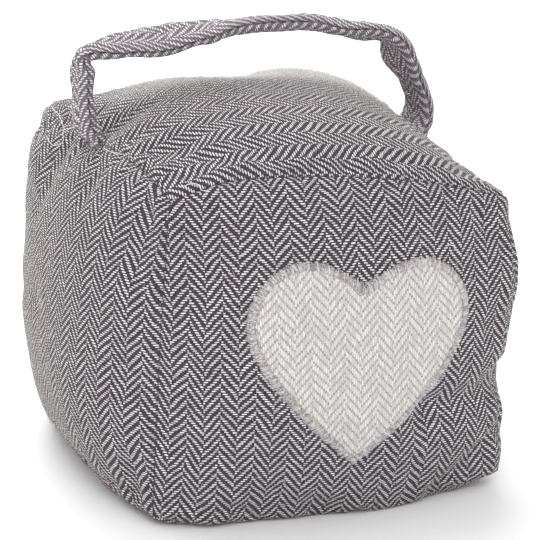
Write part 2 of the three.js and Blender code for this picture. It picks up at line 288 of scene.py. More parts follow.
def press_out(piece, held, start, cap):
    """Cloth simulation with pressure, whose result is written to the mesh."""
    write_points(piece.data, start)
    group = piece.vertex_groups.new(name="held")
    group.add(np.where(held)[0].tolist(), 1, "REPLACE")
    cloth = piece.modifiers.new("cloth", "CLOTH")
    cloth.settings.quality = 5
    cloth.settings.mass = 0.3
    cloth.settings.use_pressure = True
    cloth.settings.uniform_pressure_force = 4
    cloth.settings.vertex_group_mass = "held"
    cloth.settings.shrink_min = -0.02
    cloth.settings.effector_weights.gravity = 0
    cloth.point_cache.frame_start = 1
    cloth.point_cache.frame_end = CLOTH_FRAMES
    scene = bpy.context.scene
    for frame_number in range(1, CLOTH_FRAMES + 1):
        scene.frame_set(frame_number)
    pressed = read_points(piece.evaluated_get(bpy.context.evaluated_depsgraph_get()).data)
    piece.modifiers.remove(cloth)
    piece.vertex_groups.remove(group)
    scene.frame_set(1)
    move = pressed - start
    distance = np.linalg.norm(move, axis=1)
    kept = cap / np.maximum(distance, cap)
    write_points(piece.data, start + move * kept[:, None])


free = 1 - np.exp(-(from_edges[:, 1] / PUCKER_REACH) ** 2)
on_base = filled[:, 2] < BASE_CONTACT
start = filled - outward * (SLACK * free * ~on_base)[:, None]
press_out(bag, (from_edges[:, 1] < ON_SEAM) | on_base, start * MM, MOVE_CAP * MM)


def linear(hex_colour):
    """An sRGB hex colour as the linear colour that a shader takes."""
    parts = [int(hex_colour[i:i + 2], 16) / 255 for i in (1, 3, 5)]
    return [c / 12.92 if c <= 0.04045 else ((c + 0.055) / 1.055) ** 2.4 for c in parts] + [1]


def node(tree, kind, inputs=None, **settings):
    """Adds a node with its settings, and its inputs as values or links."""
    made = tree.nodes.new(kind)
    for name, value in settings.items():
        setattr(made, name, value)
    for key, value in (inputs or {}).items():
        if isinstance(value, bpy.types.NodeSocket):
            tree.links.new(value, made.inputs[key])
        else:
            made.inputs[key].default_value = value
    return made


def worked_out(tree, sockets, steps):
    """Works through rows of (name, operation, values), where a value is a number or an earlier name."""
    for name, operation, *values in steps:
        inputs = {i: sockets.get(value, value) for i, value in enumerate(values)}
        sockets[name] = node(tree, "ShaderNodeMath", inputs, operation=operation).outputs[0]


# Warp ends are 0.69 mm apart and weft picks 0.78 mm, and eight ends make one column of the herringbone
END_PITCH = 0.69
PICK_PITCH = 0.78
COLUMN_ENDS = 8
# The twill repeats every four threads, and its line breaks by two from one column to the next
TWILL_REPEAT = 4
COLUMN_BREAK = 2
COLUMN_STEPS = [
    ("across", "DIVIDE", "u", END_PITCH),
    ("column_place", "DIVIDE", "across", COLUMN_ENDS),
    ("column", "FLOOR", "column_place"),
    ("column_start", "MULTIPLY", "column", COLUMN_ENDS),
    ("within", "SUBTRACT", "across", "column_start"),
    ("odd", "FLOORED_MODULO", "column", 2),
    ("turned", "MULTIPLY", "odd", COLUMN_ENDS),
    ("signed", "SUBTRACT", "within", "turned"),
    ("mirrored", "ABSOLUTE", "signed"),
    ("pick_place", "DIVIDE", "v", PICK_PITCH),
]
# A weft float shows as a bar with rounded ends, in thread pitches: half its length, by how much
# chance shortens that, half its height, its tilt, how square its ends and sides are, how far it
# fills that shape, and how sharply it stands out from the warp
FLOAT_HALF_LENGTH = 1.26
FLOAT_SHORTENING = 0.24
FLOAT_HALF_HEIGHT = 0.3
FLOAT_TILT = 0.07
FLOAT_END_POWER = 3
FLOAT_SIDE_POWER = 2.4
FLOAT_FULLNESS = 1.05
FLOAT_EDGE = 2.6
WEFT_FLOAT_STEPS = [
    ("pick", "FLOOR", "pick_place"),
    ("height", "FRACT", "pick_place"),
    ("climb", "ADD", "mirrored", "pick"),
    ("broken", "MULTIPLY_ADD", "odd", COLUMN_BREAK, "climb"),
    ("phase", "FLOORED_MODULO", "broken", TWILL_REPEAT),
    ("float_start", "SUBTRACT", "broken", "phase"),
    ("beside", "SUBTRACT", "phase", 1),
    ("above", "SUBTRACT", "height", 0.5),
    ("tilted", "MULTIPLY_ADD", "beside", FLOAT_TILT, "above"),
]
# The cloth turns down into its seams over about a millimetre, along an uneven line, and there its floats
# give way to the dark warp and painted shade darkens it further
SEAM_UNEVENNESS = 1.8
SEAM_TURN = 1.2
SEAM_OFFSET = -0.75
# How thickly the pale nap and painted highlight cover the weave at their thinnest, and how much more where
# the nap is matted
NAP_AND_HIGHLIGHT_THINNEST = 0.3
NAP_AND_HIGHLIGHT_MATTING = 0.55
THREAD_RELIEF = 0.35


def wandering(tree, place, scale, reach):
    """A place moved about softly, because threads don't run quite straight. The reach is in mm."""
    noise_node = node(tree, "ShaderNodeTexNoise", {"Vector": place, "Scale": scale, "Detail": 3})
    shift = node(tree, "ShaderNodeVectorMath", {0: noise_node.outputs["Color"], 1: (0.5, 0.5, 0.5)},
                 operation="SUBTRACT")
    shift = node(tree, "ShaderNodeVectorMath", {0: shift.outputs[0], "Scale": reach}, operation="SCALE")
    return node(tree, "ShaderNodeVectorMath", {0: place, 1: shift.outputs[0]}, operation="ADD").outputs[0]


def woven_tweed(name, warp, weft, nap_and_painted_highlight=False):
    """Wool-look herringbone: a charcoal warp under pale weft floats, which the eye sees as short
    bright dashes. It darkens where it turns into a seam, as its dark warp shows and with painted shade, and
    the pale nap blend is fibre brushed up from it together with painted highlight."""
    material = bpy.data.materials.new(name)
    material.use_nodes = True
    tree = material.node_tree
    shader = tree.nodes["Principled BSDF"]
    place = node(tree, "ShaderNodeUVMap", uv_map="weave").outputs[0]
    # Single threads wander by about a tenth of a millimetre, and whole columns by half of one
    moved = wandering(tree, place, scale=0.35, reach=0.6)
    moved = wandering(tree, moved, scale=0.05, reach=3.2)
    parts = node(tree, "ShaderNodeSeparateXYZ", {0: moved})
    sockets = {"u": parts.outputs[0], "v": parts.outputs[1]}
    worked_out(tree, sockets, COLUMN_STEPS + WEFT_FLOAT_STEPS)
    cell_place = {0: sockets["float_start"], 1: sockets["pick"], 2: sockets["column"]}
    cell = node(tree, "ShaderNodeCombineXYZ", cell_place)
    chance = node(tree, "ShaderNodeTexWhiteNoise", {"Vector": cell.outputs[0]}, noise_dimensions="3D")
    sockets["chance"] = chance.outputs["Value"]
    worked_out(tree, sockets, [
        ("length", "MULTIPLY_ADD", "chance", -FLOAT_SHORTENING, FLOAT_HALF_LENGTH),
        ("beside_share", "DIVIDE", "beside", "length"),
        ("above_share", "DIVIDE", "tilted", FLOAT_HALF_HEIGHT),
        ("beside_size", "ABSOLUTE", "beside_share"),
        ("above_size", "ABSOLUTE", "above_share"),
        ("beside_part", "POWER", "beside_size", FLOAT_END_POWER),
        ("above_part", "POWER", "above_size", FLOAT_SIDE_POWER),
        ("far", "ADD", "beside_part", "above_part"),
        ("inside", "SUBTRACT", FLOAT_FULLNESS, "far"),
        ("float", "MULTIPLY", "inside", FLOAT_EDGE),
        ("thread_angle", "MULTIPLY", "across", 2 * math.pi),
        ("thread_wave", "COSINE", "thread_angle"),
        ("thread_round", "MULTIPLY_ADD", "thread_wave", -0.5, 0.5),
    ])
    floating = node(tree, "ShaderNodeClamp", {0: sockets["float"]}).outputs[0]
    edge_place = node(tree, "ShaderNodeUVMap", uv_map="seams").outputs[0]
    edge = node(tree, "ShaderNodeSeparateXYZ", {0: edge_place})
    sockets["across_edge"], sockets["along_edge"] = edge.outputs[0], edge.outputs[1]
    uneven = node(tree, "ShaderNodeTexNoise", {"Vector": place, "Scale": 0.9, "Detail": 2})
    sockets["uneven"] = uneven.outputs["Fac"]
    worked_out(tree, sockets, [
        ("from_seam", "MINIMUM", "across_edge", "along_edge"),
        ("from_stitch", "MULTIPLY_ADD", "uneven", SEAM_UNEVENNESS, "from_seam"),
        ("past_stitches", "MULTIPLY_ADD", "from_stitch", SEAM_TURN, SEAM_OFFSET),
    ])
    # This share runs from 0 on the seam to 1 clear of it, and sets both where the floats fade and where the
    # painted seam shade lies
    flat = node(tree, "ShaderNodeClamp", {0: sockets["past_stitches"]}).outputs[0]
    floating = node(tree, "ShaderNodeMath", {0: floating, 1: flat}, operation="MULTIPLY").outputs[0]
    mottle = node(tree, "ShaderNodeTexNoise", {"Vector": place, "Scale": 1.6, "Detail": 3}).outputs["Fac"]
    mottle = node(tree, "ShaderNodeMapRange", {0: mottle, 1: 0.3, 2: 0.7}).outputs[0]
    dark = node(tree, "ShaderNodeMix", {0: mottle, 6: linear(warp[0]), 7: linear(warp[1])},
                data_type="RGBA").outputs[2]
    # Painted shade: toward the seam the cloth is mixed toward a plain dark colour, standing for the shade
    # in the seam's groove
    dark = node(tree, "ShaderNodeMix", {0: flat, 6: linear("#3A3338"), 7: dark},
                data_type="RGBA").outputs[2]
    pale = node(tree, "ShaderNodeMix", {0: sockets["chance"], 6: linear(weft[0]), 7: linear(weft[1])},
                data_type="RGBA").outputs[2]
    colour = node(tree, "ShaderNodeMix", {0: floating, 6: dark, 7: pale}, data_type="RGBA").outputs[2]
    # The pale blend is partly the brushed nap's own colour and partly painted highlight for light grazing
    # the back of the top
    if nap_and_painted_highlight:
        raised = node(tree, "ShaderNodeAttribute", attribute_name="nap_and_painted_highlight").outputs["Fac"]
        patchy = node(tree, "ShaderNodeMath", {0: mottle, 1: NAP_AND_HIGHLIGHT_MATTING, 2: NAP_AND_HIGHLIGHT_THINNEST},
                      operation="MULTIPLY_ADD").outputs[0]
        raised = node(tree, "ShaderNodeMath", {0: raised, 1: patchy}, operation="MULTIPLY").outputs[0]
        colour = node(tree, "ShaderNodeMix", {0: raised, 6: colour, 7: linear("#EFEBE9")},
                      data_type="RGBA").outputs[2]
    relief = node(tree, "ShaderNodeMath", {0: sockets["thread_round"], 1: THREAD_RELIEF, 2: floating},
                  operation="MULTIPLY_ADD").outputs[0]
    bump = node(tree, "ShaderNodeBump", {"Strength": 0.5, "Distance": 0.0003, "Height": relief})
    tree.links.new(colour, shader.inputs["Base Color"])
    tree.links.new(bump.outputs[0], shader.inputs["Normal"])
    shader.inputs["Roughness"].default_value = 0.95
    shader.inputs["Specular IOR Level"].default_value = 0.15
    shader.inputs["Sheen Weight"].default_value = 0.26
    shader.inputs["Sheen Roughness"].default_value = 0.3
    shader.inputs["Sheen Tint"].default_value = linear("#FFF6EA")
    return material


bag.data.materials.append(woven_tweed(
    "woven_herringbone_tweed", ("#2D272C", "#5C545B"), ("#F6F3F4", "#CFCACD"), nap_and_painted_highlight=True))
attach(bag, "root")
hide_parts("body")

# The strap handle
# A flat tube of the same cloth, folded, sewn along its front edge and caught in the two side
# seams of the top. It is a loft of rounded flat sections, gathered where it enters each seam.
STRAP_WIDTH = 18
STRAP_THICKNESS = 5.4
STRAP_RISE = 36
STRAP_SET_BACK = 5
STRAP_SKEW = 2.5
STRAP_TUCK_DEPTH = 5
STRAP_CORNER_POWER = 3.2
STRAP_SEAM_GROOVE = 1.5
STRAP_SEAM_WIDTH = 0.13
STRAP_STEPS = 240
STRAP_SIDES = 64
# Gathers at both feet: their height, waves across the strap, middle and reach along the span
GATHER_HEIGHT = 0.75
GATHER_WAVES = 1.9
GATHER_MIDDLE = 0.03
GATHER_REACH = 0.05
# Ripples in both faces: their height, and how many there are in a millimetre along and across
RIPPLE_HEIGHT = 1.1
RIPPLES_ALONG = 0.16
RIPPLES_ACROSS = 0.35
STRAP_LENGTH = 190
# Place along the span, height as a share of the rise, share of the width, and twist in degrees
STRAP_ROUTE = np.array([
    (0, 0, 0.82, 2),
    (-0.027, 0.105, 0.67, -9),
    (-0.036, 0.294, 0.69, -7),
    (-0.037, 0.621, 0.79, -4),
    (-0.031, 0.771, 0.65, 12),
    (0.08, 0.865, 0.86, -11),
    (0.19, 0.915, 0.99, -16),
    (0.306, 0.987, 1.26, -2),
    (0.47, 1.05, 0.79, 15),
    (0.643, 1.082, 0.87, 10),
    (0.754, 1.036, 0.91, 3),
    (0.845, 0.989, 1.01, 14),
    (0.93, 0.934, 1.2, 1),
    (0.96, 0.701, 1.19, 10),
    (1.001, 0.505, 1.07, 0),
    (1.025, 0.302, 1.05, 1),
    (1.024, 0.146, 1.05, 3),
    (1, 0, 1.14, 4),
])


def smooth_line(stops, shares):
    """A centripetal Catmull-Rom line through the stops."""
    stops = np.vstack([2 * stops[0] - stops[1], stops, 2 * stops[-1] - stops[-2]])
    last = len(stops) - 4
    place = np.clip(shares, 0, 1) * (last + 1)
    before = np.minimum(np.floor(place).astype(int), last)
    mix = (place - before)[:, None]
    p0, p1, p2, p3 = (stops[before + i] for i in range(4))
    gaps = [np.sqrt(np.linalg.norm(b - a, axis=1))[:, None] for a, b in ((p0, p1), (p1, p2), (p2, p3))]
    leave = ((p1 - p0) / gaps[0] - (p2 - p0) / (gaps[0] + gaps[1]) + (p2 - p1) / gaps[1]) * gaps[1]
    reach = ((p2 - p1) / gaps[1] - (p3 - p1) / (gaps[1] + gaps[2]) + (p3 - p2) / gaps[2]) * gaps[1]
    bend = 3 * (p2 - p1) - 2 * leave - reach
    return p1 + mix * (leave + mix * (bend + mix * (2 * (p1 - p2) + leave + reach)))


def along_route(values, shares):
    padded = np.array([values[0], *values, values[-1]])
    place = np.clip(shares, 0, 1) * (len(padded) - 1)
    before = np.minimum(np.floor(place).astype(int), len(padded) - 2)
    mix = place - before
    mix = mix * mix * (3 - 2 * mix)
    return padded[before] + (padded[before + 1] - padded[before]) * mix


def unit(rows):
    return rows / np.linalg.norm(rows, axis=-1, keepdims=True)


left_seat, right_seat = bag_surface(np.array([
    [-1, STRAP_SET_BACK / BAG_HALF[1], 1],
    [1, (STRAP_SET_BACK + STRAP_SKEW) / BAG_HALF[1], 1],
]))
stops = left_seat + (right_seat - left_seat) * STRAP_ROUTE[:, :1]
stops[:, 2] += STRAP_ROUTE[:, 1] * STRAP_RISE
tuck = np.array([0, 0, STRAP_TUCK_DEPTH])
stops = np.vstack([left_seat - tuck, stops, right_seat - tuck])
shares = np.linspace(0, 1, STRAP_STEPS + 1)
centre = smooth_line(stops, shares)
tangent = unit(smooth_line(stops, shares + 1e-4) - smooth_line(stops, shares - 1e-4))
twist = -np.radians(along_route(STRAP_ROUTE[:, 3], shares))[:, None]
across = unit(np.array([0, 1, 0]) - tangent * tangent[:, 1:2])
across = across * np.cos(twist) + np.cross(tangent, across) * np.sin(twist)
outward = np.cross(across, tangent)
half_width = STRAP_WIDTH * along_route(STRAP_ROUTE[:, 2], shares) / 2
# The section starts and ends at the front edge, where the two folded edges meet
angle = np.linspace(math.pi, 3 * math.pi, STRAP_SIDES + 1)
from_seam = np.minimum(angle - math.pi, 3 * math.pi - angle)
reach = (np.abs(np.cos(angle)) ** STRAP_CORNER_POWER + np.abs(np.sin(angle)) ** STRAP_CORNER_POWER)
reach **= -1 / STRAP_CORNER_POWER
side_reach = half_width[:, None] * np.cos(angle) * reach
side_reach += STRAP_SEAM_GROOVE * np.exp(-(from_seam / STRAP_SEAM_WIDTH) ** 2)
face_reach = np.tile(STRAP_THICKNESS / 2 * np.sin(angle) * reach, (STRAP_STEPS + 1, 1))
# Gathers run up from both feet, and the faces ripple a little along the strap
foot_distance = np.minimum(shares, 1 - shares)[:, None]
gathers = GATHER_HEIGHT * np.cos(side_reach * GATHER_WAVES)
gathers *= np.exp(-((foot_distance - GATHER_MIDDLE) / GATHER_REACH) ** 2)
ripples = np.array([[
    noise.noise(Vector((x * RIPPLES_ALONG, y * RIPPLES_ACROSS, side)))
    for y, side in zip(row, np.sign(np.sin(angle)))
] for x, row in zip(np.linspace(0, STRAP_LENGTH, STRAP_STEPS + 1), side_reach)])
face_reach += np.sin(angle) * (gathers + RIPPLE_HEIGHT * ripples)
loft = centre[:, None] + across[:, None] * side_reach[..., None] + outward[:, None] * face_reach[..., None]
bm = bmesh.new()
bmesh.ops.create_grid(bm, x_segments=STRAP_STEPS, y_segments=STRAP_SIDES, size=1)
grid_places = np.array([v.co[:2] for v in bm.verts])
step = np.rint((grid_places[:, 0] + 1) / 2 * STRAP_STEPS).astype(int)
side = np.rint((grid_places[:, 1] + 1) / 2 * STRAP_SIDES).astype(int)
around = np.concatenate([
    np.zeros((STRAP_STEPS + 1, 1)),
    np.cumsum(np.linalg.norm(np.diff(loft, axis=1), axis=2), axis=1),
], axis=1)
length = np.concatenate([[0], np.cumsum(np.linalg.norm(np.diff(centre, axis=0), axis=1))])[:, None]
own_length = np.concatenate([
    np.zeros((1, STRAP_SIDES + 1)),
    np.cumsum(np.linalg.norm(np.diff(loft, axis=0), axis=2), axis=0),
])
length = (length + own_length) / 2
from_seam_run = np.minimum(around, around[:, -1:] - around)
# The strap's cloth is laid a tenth coarser, because its edges are drawn round the folds
STRAP_STRETCH = 1.1
strap_uv = np.stack([from_seam_run[step, side], length[step, side]], axis=1)
uv_layer = bm.loops.layers.uv.new("weave")
seam_layer = bm.loops.layers.uv.new("seams")
for face in bm.faces:
    for loop in face.loops:
        loop[uv_layer].uv = strap_uv[loop.vert.index] / STRAP_STRETCH
        loop[seam_layer].uv = (strap_uv[loop.vert.index][0], STRAP_WIDTH)
for vert, place in zip(bm.verts, loft[step, side] * MM):
    vert.co = place
bmesh.ops.remove_doubles(bm, verts=bm.verts[:], dist=1e-6)
bmesh.ops.holes_fill(bm, edges=[e for e in bm.edges if e.is_boundary])
bmesh.ops.recalc_face_normals(bm, faces=bm.faces[:])
strap = new_piece("strap", bm)
strap.data.shade_smooth()
# The strap's copy of the cloth has lighter warp and weft than the bag's: painted light for the brighter
# light the raised strap catches
strap.data.materials.append(woven_tweed(
    "strap_tweed_painted_lighter", ("#564E55", "#8E858C"), ("#F8F5F6", "#DCD7DA")))
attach(strap, "root")
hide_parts("handle")

# The heart
# A heart cut from a paler herringbone cloth, laid on the front panel and sewn round its edge.
# It is a thin closed solid that follows the bag under it.
HEART_WIDTH = 77.4
HEART_HEIGHT = 69.4
HEART_NOTCH_DEPTH = 7.1
HEART_LOBE_SPREAD = 39
HEART_WIDEST_BELOW_TOP = 20
HEART_CENTRE_X = 0.9
HEART_TIP_HEIGHT = 21.2
HEART_TURN = math.radians(1.2)
HEART_LEAN = 1.8
CURVE_POINTS = 40
# The cut isn't quite even: the top sags more from the left lobe to the right one, and the right
# flank is fuller at a height, and over a reach, that are shares of the heart's height
SAG_PLACES = [-20, 0, 20]
SAG_DEPTHS = [0.2, 1.2, 1.5]
FLANK_FULLNESS = 1.3
FLANK_HEIGHT = 0.26
FLANK_REACH = 0.17


def curve(ends_and_handles):
    """Points on a cubic curve, without its first end."""
    p = np.array(ends_and_handles, dtype=float)
    t = np.linspace(0, 1, CURVE_POINTS + 1)[1:, None]
    return (1 - t) ** 3 * p[0] + 3 * (1 - t) ** 2 * t * p[1] + 3 * (1 - t) * t ** 2 * p[2] + t ** 3 * p[3]


def heart_outline():
    """The heart's edge in X and Z, clockwise from the notch, in mm."""
    # The curves' handles lie at shares of the lobe, the half width and the heights
    top, notch = HEART_HEIGHT, HEART_HEIGHT - HEART_NOTCH_DEPTH
    widest, half, lobe = HEART_HEIGHT - HEART_WIDEST_BELOW_TOP, HEART_WIDTH / 2, HEART_LOBE_SPREAD / 2
    shoulder = widest + HEART_WIDEST_BELOW_TOP * 0.48
    right = np.vstack([
        [(0, notch)],
        curve([(0, notch), (lobe * 0.37, top - HEART_NOTCH_DEPTH * 0.51), (lobe * 0.62, top), (lobe, top)]),
        curve([(lobe, top), (half * 0.8, top), (half, shoulder), (half, widest)]),
        curve([(half, widest), (half, widest * 0.69), (half * 0.42, widest * 0.27), (0, 0)]),
    ])
    outline = np.vstack([right, right[1:-1][::-1] * (-1, 1)]) - (0, HEART_HEIGHT / 2)
    outline[:, 0] += HEART_LEAN * outline[:, 1] / HEART_HEIGHT
    cosine, sine = math.cos(HEART_TURN), math.sin(HEART_TURN)
    outline = outline @ np.array([[cosine, -sine], [sine, cosine]])
    share = outline[:, 1] / HEART_HEIGHT + 0.5
    outline[:, 1] -= np.interp(outline[:, 0], SAG_PLACES, SAG_DEPTHS) * np.clip(share * 2 - 1, 0, 1)
    fuller = FLANK_FULLNESS * np.exp(-((share - FLANK_HEIGHT) / FLANK_REACH) ** 2)
    outline[:, 0] += np.where(outline[:, 0] > 0, fuller, 0)
    return outline + (HEART_CENTRE_X, HEART_TIP_HEIGHT + HEART_HEIGHT / 2)


bag_tree = BVHTree.FromPolygons(
    [v.co[:] for v in bag.data.vertices],
    [p.vertices[:] for p in bag.data.polygons],
)


def on_front(x, z):
    """The front panel's depth at a place, in mm."""
    hit = bag_tree.ray_cast(Vector((x * MM, -0.2, z * MM)), Vector((0, 1, 0)))[0]
    return hit.y / MM


EDGING_WIDTH = 2.8
HEART_RINGS = 40
HEART_ANGLES = 180
HEART_THICKNESS = 0.9
# The cloth thins to this share of its thickness over the last twentieth before its edge
HEART_EDGE_SHARE = 0.35
HEART_EDGE_STEEPNESS = 20
# How far its underside lies off the bag
HEART_UNDERSIDE = 0.1
HEART_CLOTH_SHIFT = 5.2
outline = heart_outline()
closed_outline = np.vstack([outline, outline[:1]])
run = np.concatenate([[0], np.cumsum(np.linalg.norm(np.diff(closed_outline, axis=0), axis=1))])
heart_middle = outline.mean(axis=0)


def at_run(distance):
    """Places on the heart's edge at distances along it."""
    distance = np.mod(distance, run[-1])
    return np.stack([np.interp(distance, run, column) for column in closed_outline.T], axis=1)


bm = bmesh.new()
bmesh.ops.create_grid(bm, x_segments=HEART_ANGLES, y_segments=2 * HEART_RINGS, size=1)
grid_places = np.array([v.co[:2] for v in bm.verts])
turn_share = (grid_places[:, 0] + 1) / 2
ring_share = (grid_places[:, 1] + 1)
from_middle = np.where(ring_share <= 1, ring_share, 2 - ring_share)
edge = at_run(turn_share * run[-1])
inner_edge = edge + unit(heart_middle - edge) * EDGING_WIDTH / 2
heart_places = heart_middle + (inner_edge - heart_middle) * from_middle[:, None]
thickness = HEART_THICKNESS * np.clip((1 - from_middle) * HEART_EDGE_STEEPNESS, HEART_EDGE_SHARE, 1)
over = np.where(ring_share < 1, thickness, HEART_UNDERSIDE)
for vert, (x, z), lift in zip(bm.verts, heart_places, over):
    vert.co = (x * MM, (on_front(x, z) - lift) * MM, z * MM)
uv_layer = bm.loops.layers.uv.new("weave")
for face in bm.faces:
    for loop in face.loops:
        loop[uv_layer].uv = heart_places[loop.vert.index] + (HEART_CLOTH_SHIFT, 0)
bmesh.ops.remove_doubles(bm, verts=bm.verts[:], dist=1e-6)
bmesh.ops.recalc_face_normals(bm, faces=bm.faces[:])
heart = new_piece("heart", bm)
heart.data.shade_smooth()


# A warp float of the heart's cloth, given as the weft floats of the bag are
WARP_FLOAT_HALF_LENGTH = 1.6
WARP_FLOAT_HALF_WIDTH = 0.5
WARP_FLOAT_END_POWER = 2
WARP_FLOAT_SIDE_POWER = 3
WARP_FLOAT_FULLNESS = 1.2
WARP_FLOAT_EDGE = 1.5


def pale_tweed():
    """Pale herringbone: fine cream warp floats over a greyer weft, flecked with darker fibre."""
    material = bpy.data.materials.new("pale_herringbone_tweed")
    material.use_nodes = True
    tree = material.node_tree
    shader = tree.nodes["Principled BSDF"]
    place = node(tree, "ShaderNodeUVMap", uv_map="weave").outputs[0]
    moved = wandering(tree, place, scale=0.8, reach=0.35)
    moved = wandering(tree, moved, scale=0.05, reach=2)
    parts = node(tree, "ShaderNodeSeparateXYZ", {0: moved})
    sockets = {"u": parts.outputs[0], "v": parts.outputs[1]}
    worked_out(tree, sockets, COLUMN_STEPS + [
        ("end", "FLOOR", "mirrored"),
        ("end_place", "FRACT", "mirrored"),
        ("climb", "ADD", "end", "pick_place"),
        ("broken", "MULTIPLY_ADD", "odd", COLUMN_BREAK, "climb"),
        ("phase", "FLOORED_MODULO", "broken", TWILL_REPEAT),
        ("float_start", "SUBTRACT", "broken", "phase"),
        ("along", "SUBTRACT", "phase", WARP_FLOAT_HALF_LENGTH),
        ("beside", "SUBTRACT", "end_place", 0.5),
        ("along_share", "DIVIDE", "along", WARP_FLOAT_HALF_LENGTH),
        ("beside_share", "DIVIDE", "beside", WARP_FLOAT_HALF_WIDTH),
        ("along_size", "ABSOLUTE", "along_share"),
        ("beside_size", "ABSOLUTE", "beside_share"),
        ("along_part", "POWER", "along_size", WARP_FLOAT_END_POWER),
        ("beside_part", "POWER", "beside_size", WARP_FLOAT_SIDE_POWER),
        ("far", "ADD", "along_part", "beside_part"),
        ("inside", "SUBTRACT", WARP_FLOAT_FULLNESS, "far"),
        ("float", "MULTIPLY", "inside", WARP_FLOAT_EDGE),
    ])
    cell_place = {0: sockets["float_start"], 1: sockets["end"], 2: sockets["column"]}
    cell = node(tree, "ShaderNodeCombineXYZ", cell_place)
    chance = node(tree, "ShaderNodeTexWhiteNoise", {"Vector": cell.outputs[0]}, noise_dimensions="3D")
    floating = node(tree, "ShaderNodeClamp", {0: sockets["float"]}).outputs[0]
    fleck = node(tree, "ShaderNodeTexNoise", {"Vector": place, "Scale": 1.9, "Detail": 2}).outputs["Fac"]
    fleck = node(tree, "ShaderNodeMapRange", {0: fleck, 1: 0.36, 2: 0.6}).outputs[0]
    weft = node(tree, "ShaderNodeMix", {0: fleck, 6: linear("#8F8A88"), 7: linear("#C8C3C0")},
                data_type="RGBA").outputs[2]
    tone = chance.outputs["Value"]
    warp = node(tree, "ShaderNodeMix", {0: tone, 6: linear("#EFEBE9"), 7: linear("#D2CDCB")},
                data_type="RGBA").outputs[2]
    colour = node(tree, "ShaderNodeMix", {0: floating, 6: weft, 7: warp}, data_type="RGBA").outputs[2]
    specks = node(tree, "ShaderNodeTexNoise", {"Vector": place, "Scale": 3.1, "Detail": 1}).outputs["Fac"]
    specks = node(tree, "ShaderNodeMapRange", {0: specks, 1: 0.52, 2: 0.72, 4: 0.6}).outputs[0]
    colour = node(tree, "ShaderNodeMix", {0: specks, 6: colour, 7: linear("#8F8A88")},
                  data_type="RGBA").outputs[2]
    bump = node(tree, "ShaderNodeBump", {"Strength": 0.5, "Distance": 0.0003, "Height": floating})
    tree.links.new(colour, shader.inputs["Base Color"])
    tree.links.new(bump.outputs[0], shader.inputs["Normal"])
    shader.inputs["Roughness"].default_value = 0.95
    shader.inputs["Specular IOR Level"].default_value = 0.15
    shader.inputs["Sheen Weight"].default_value = 0.15
    return material


heart.data.materials.append(pale_tweed())
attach(heart, "root")
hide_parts("heart_applique")

# The heart's edging
# Hundreds of separate stitches of grey thread lie side by side across the heart's edge. Each is
# a thin tube that starts in the bag's cloth, rises over the edge and ends in the heart.
STITCHES = 900
STITCH_POINTS = 7
STITCH_RADIUS = 0.2
STITCH_WIDTH = 2.75
# The stitches reach further in round the notch, where both sides of the edging meet
NOTCH_EXTRA = 1.4
NOTCH_REACH = 2.5
STITCH_SLANT = 0.3
# How far single stitches stray along the edge as a share of their spacing, fall short of it or
# past it in mm at both ends, and differ in height
STITCH_STRAY = (-0.3, 0.3)
STITCH_OUTER_STRAY = (-0.75, 0.1)
STITCH_INNER_STRAY = (-0.3, 0.25)
STITCH_LIFTS = (0.85, 1.1)
# Heights over the cloth at shares of a stitch, from its outer end to its inner one
STITCH_SHARES = [0, 0.18, 0.5, 0.85, 1]
STITCH_HEIGHTS = [-0.1, 0.85, 1.35, 1.25, 0.55]
TANGENT_REACH = 1.2
THREAD_SIDES = 6
# One turn of the thread's two plies in mm, and its flecks in a metre, about 0.7 mm each
PLY_TURN = 0.5
FLECKS_PER_METRE = 1500


def new_threads(name, paths, radius, up, sides=THREAD_SIDES):
    """Tubes along rows of points in mm, as one piece, with a tone for each thread."""
    count, rings = paths.shape[:2]
    bm = bmesh.new()
    bmesh.ops.create_cone(bm, cap_ends=True, segments=sides, radius1=1, radius2=1, depth=2)
    long_edges = [e for e in bm.edges if abs(e.verts[0].co.z - e.verts[1].co.z) > 1]
    bmesh.ops.subdivide_edges(bm, edges=long_edges, cuts=rings - 2)
    one = bpy.data.meshes.new("one_thread")
    bm.to_mesh(one)
    bm.clear()
    for _ in range(count):
        bm.from_mesh(one)
    template = read_points(one)
    ring = np.rint((template[:, 2] + 1) / 2 * (rings - 1)).astype(int)
    tangent = unit(np.gradient(paths, axis=1))
    side = unit(np.cross(tangent, up))
    rise = np.cross(side, tangent)
    points = paths[:, ring] + radius * (
        side[:, ring] * template[:, 0, None] + rise[:, ring] * template[:, 1, None]
    )
    for vert, place in zip(bm.verts, points.reshape(-1, 3) * MM):
        vert.co = place
    bmesh.ops.recalc_face_normals(bm, faces=bm.faces[:])
    piece = new_piece(name, bm)
    tone = piece.data.attributes.new("tone", "FLOAT", "POINT")
    tone.data.foreach_set("value", np.repeat(chance.random(count), len(template)))
    run = piece.data.attributes.new("run", "FLOAT", "POINT")
    lengths = np.cumsum(np.linalg.norm(np.diff(paths, axis=1, prepend=paths[:, :1]), axis=2), axis=1)
    run.data.foreach_set("value", lengths[:, ring].ravel())
    piece.data.shade_smooth()
    return piece


